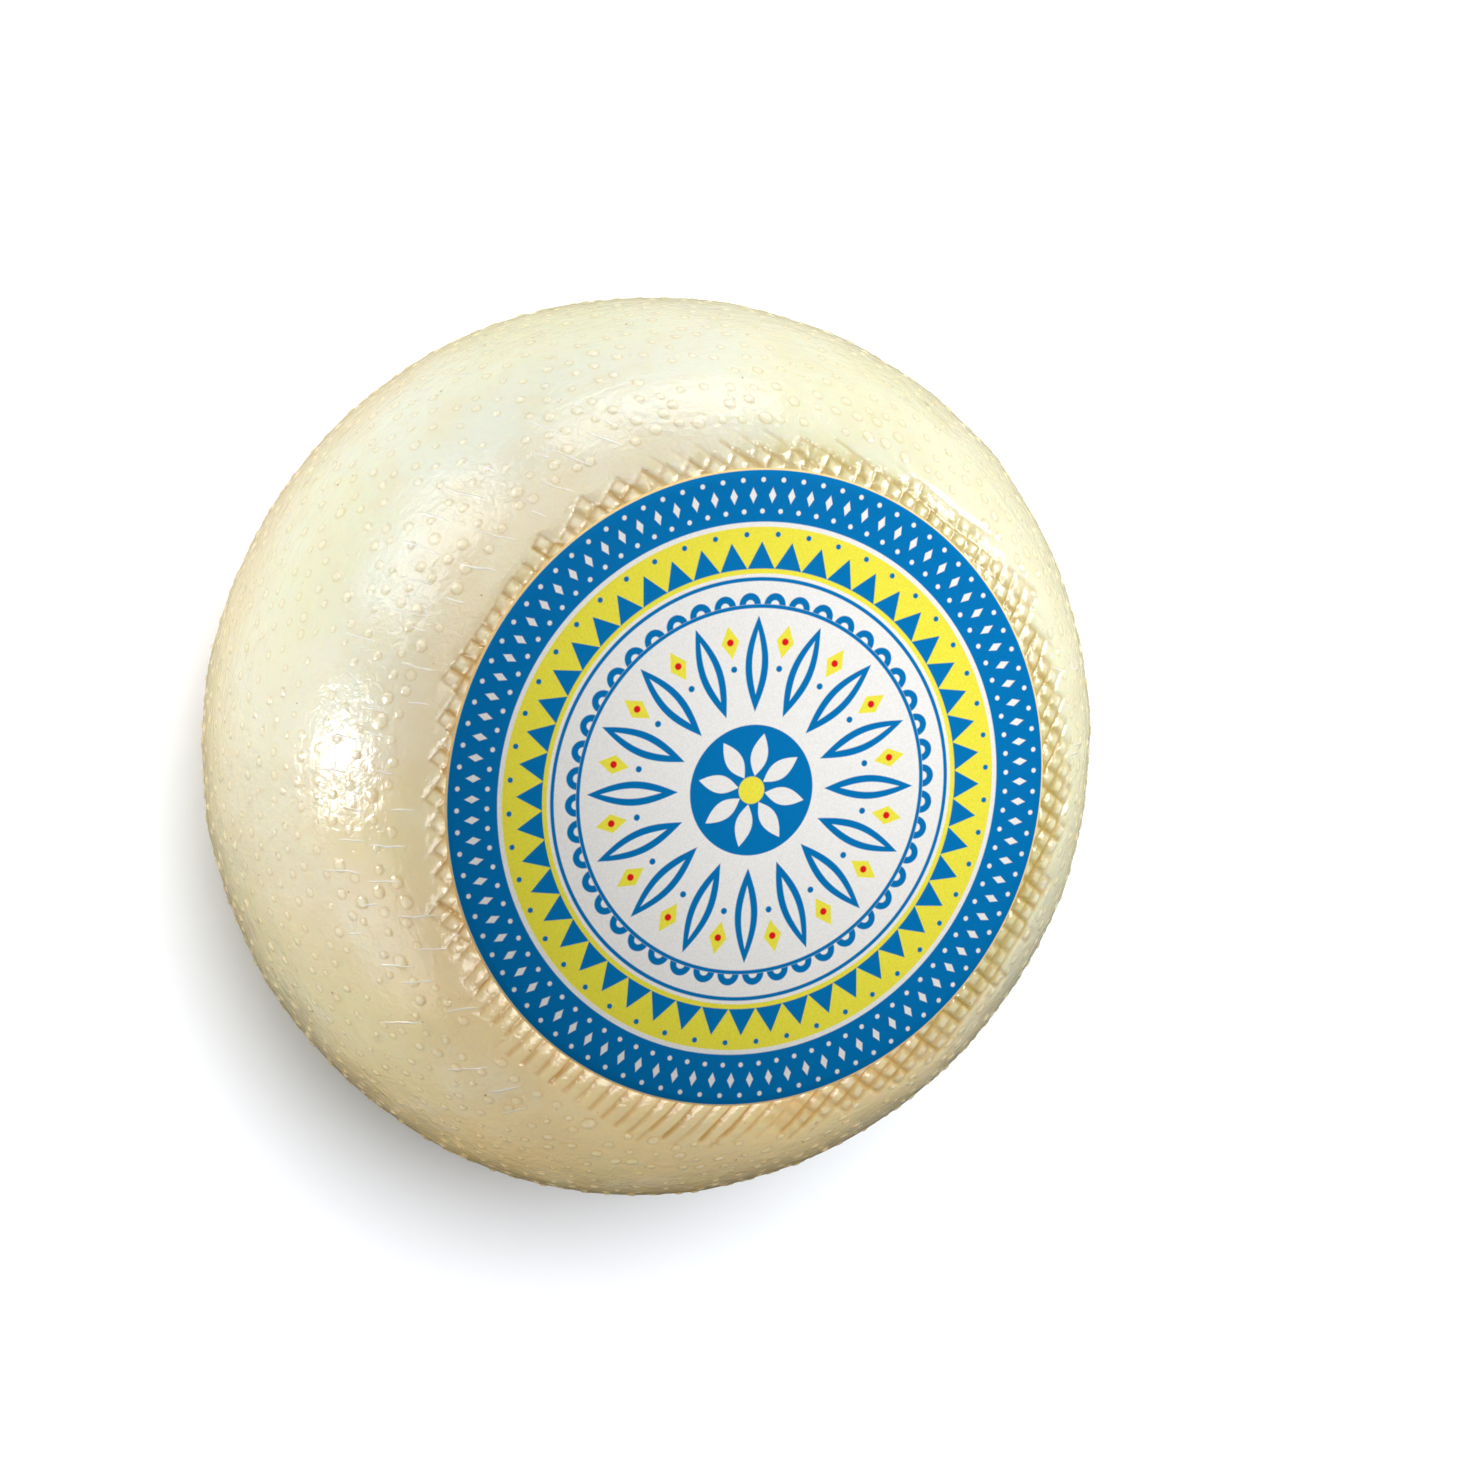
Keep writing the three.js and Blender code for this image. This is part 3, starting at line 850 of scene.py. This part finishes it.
def make_lights(rind, paper_label, floor):
    """Soft lamps round the wheel, strongest from the picture's upper right, and even light on the floor."""
    cheese = group("lit_rind", [rind])
    softbox("key", 152, 26, 0.40, 0.09, 0.09, 0.40, cheese)
    softbox("right_top", 141, 44, 0.8, 0.36, 0.36, 2.7, cheese, round_edge=True)
    softbox("top_strip", -150, 8, 0.5, 0.4, 0.16, 0.54, cheese)
    softbox("top_left", -98, 5, 1.3, 0.7, 0.7, 4.7, cheese)
    softbox("left", -20, 8, 1.3, 0.7, 0.7, 1.6, cheese)
    softbox("left_lamp", -54, 5, 0.42, 0.12, 0.17, 0.25, cheese, round_edge=True)
    softbox("front", -112, 38, 0.8, 0.6, 0.6, 1.20, cheese)
    softbox("below", 28, 60, 1.3, 0.7, 0.7, 6.6, cheese)
    spotlight("rind_pool", -170, 60, (-0.045, 0.02, WHEEL_HEIGHT), 0.18, 3.2, cheese)
    glint("left_glint", -54, 5, 0.42, 0.05, 0.07, 0.42, cheese)
    glint("top_glint", 152, 34, 0.6, 0.06, 0.06, 0.32, cheese)
    glint("low_glint", 57, 56, 0.6, 0.06, 0.06, 0.40, cheese)

    paper = group("lit_label", [paper_label])
    softbox("label_top", -137, 16, 1.3, 0.7, 0.7, 10.4, paper)
    spotlight("label_pool", 150, 77, (-0.055, 0.02, WHEEL_HEIGHT), 0.15, 27.0, paper)
    spotlight("label_wide", 150, 78, (-0.070, 0.02, WHEEL_HEIGHT), 0.22, 14.6, paper)

    board = group("lit_floor", [floor])
    wheel = group("wheel", [rind, paper_label])
    sun = add_lamp("floor_sun", "SUN", bearing(208, 66), (0, 0, 0), 2.0, 4.0, board, wheel)
    sun.data.angle = math.radians(50)
    fill = add_lamp("floor_fill", "SUN", bearing(-100, 40), (0, 0, 0), 2.0, 2.0, board, wheel)
    fill.data.angle = math.radians(60)


def make_surroundings():
    """White where the camera sees past the floor. The gloss sees a bright floor below the horizon, dimmed
    towards the picture's lower left, and a dark room above it."""
    world = bpy.data.worlds.new("studio")
    world.use_nodes = True
    tree = world.node_tree
    direction = tree.nodes.new("ShaderNodeTexCoord").outputs["Generated"]

    def step(value, low, high, to_low, to_high):
        """to_low below low and to_high above high, with a smooth step between."""
        node = tree.nodes.new("ShaderNodeMapRange")
        node.interpolation_type = "SMOOTHSTEP"
        tree.links.new(value, node.inputs["Value"])
        numbers = {"From Min": low, "From Max": high, "To Min": to_low, "To Max": to_high}
        for socket, number in numbers.items():
            node.inputs[socket].default_value = number
        return node

    towards = tree.nodes.new("ShaderNodeVectorMath")
    towards.operation = "DOT_PRODUCT"
    towards.inputs[1].default_value = bearing(30, 0)
    tree.links.new(direction, towards.inputs[0])
    dimmed = step(towards.outputs["Value"], 0.0, 0.4, 0.62, 0.0)
    apart = tree.nodes.new("ShaderNodeSeparateXYZ")
    tree.links.new(direction, apart.inputs[0])
    under = step(apart.outputs[2], -0.04, 0.04, 1.0, 0.02)
    tree.links.new(dimmed.outputs[0], under.inputs["To Min"])
    seen = tree.nodes.new("ShaderNodeLightPath").outputs["Is Camera Ray"]
    strength = step(seen, 0.0, 1.0, 0.0, 1.0)
    tree.links.new(under.outputs[0], strength.inputs["To Min"])
    tree.links.new(strength.outputs[0], tree.nodes["Background"].inputs["Strength"])
    tint = tree.nodes.new("ShaderNodeMix")
    tint.data_type = "RGBA"
    tree.links.new(seen, tint.inputs[0])
    tint.inputs[6].default_value = (1.0, 0.86, 0.50, 1)
    tint.inputs[7].default_value = (1.0, 1.0, 1.0, 1)
    tree.links.new(tint.outputs[2], tree.nodes["Background"].inputs["Color"])
    bpy.context.scene.world = world


def turned(vector):
    """A direction turned with the basket's grid about the wheel's axis."""
    return Matrix.Rotation(BASKET_TURN, 3, "Z") @ Vector(vector)


def make_camera():
    """The photograph's view: the wheel's axis leans AXIS_TILT off the line of sight, towards AXIS_ROLL
    below the picture's right. The aim is off the wheel's middle by as much as the wheel is off the
    picture's middle."""
    back = turned((0, -math.sin(AXIS_TILT), math.cos(AXIS_TILT)))
    lean = turned((0, math.cos(AXIS_TILT), math.sin(AXIS_TILT)))
    side = turned((1, 0, 0))
    right = math.cos(AXIS_ROLL) * lean - math.sin(AXIS_ROLL) * side
    up = -(math.sin(AXIS_ROLL) * lean + math.cos(AXIS_ROLL) * side)
    pixel = BULGE_RADIUS / PIXELS_PER_RADIUS
    middle = Vector((0, 0, HALF_HEIGHT))
    eye = middle + back * CAMERA_DISTANCE
    half = PHOTO_SIDE / 2
    aim = middle + right * (half - WHEEL_SPOT[0]) * pixel + up * (WHEEL_SPOT[1] - half) * pixel
    back = (eye - aim).normalized()
    right = up.cross(back).normalized()
    up = back.cross(right)
    data = bpy.data.cameras.new("camera")
    data.lens = data.sensor_width * CAMERA_DISTANCE / pixel / PHOTO_SIDE
    camera = bpy.data.objects.new("camera", data)
    camera.matrix_world = Matrix.Translation(eye) @ Matrix((right, up, back)).transposed().to_4x4()
    bpy.context.scene.collection.objects.link(camera)
    bpy.context.scene.camera = camera


rind = make_rind()
paper_label = make_label()
floor = make_floor()
make_lights(rind, paper_label, floor)
make_surroundings()
make_camera()
bpy.context.scene.view_settings.view_transform = "Standard"
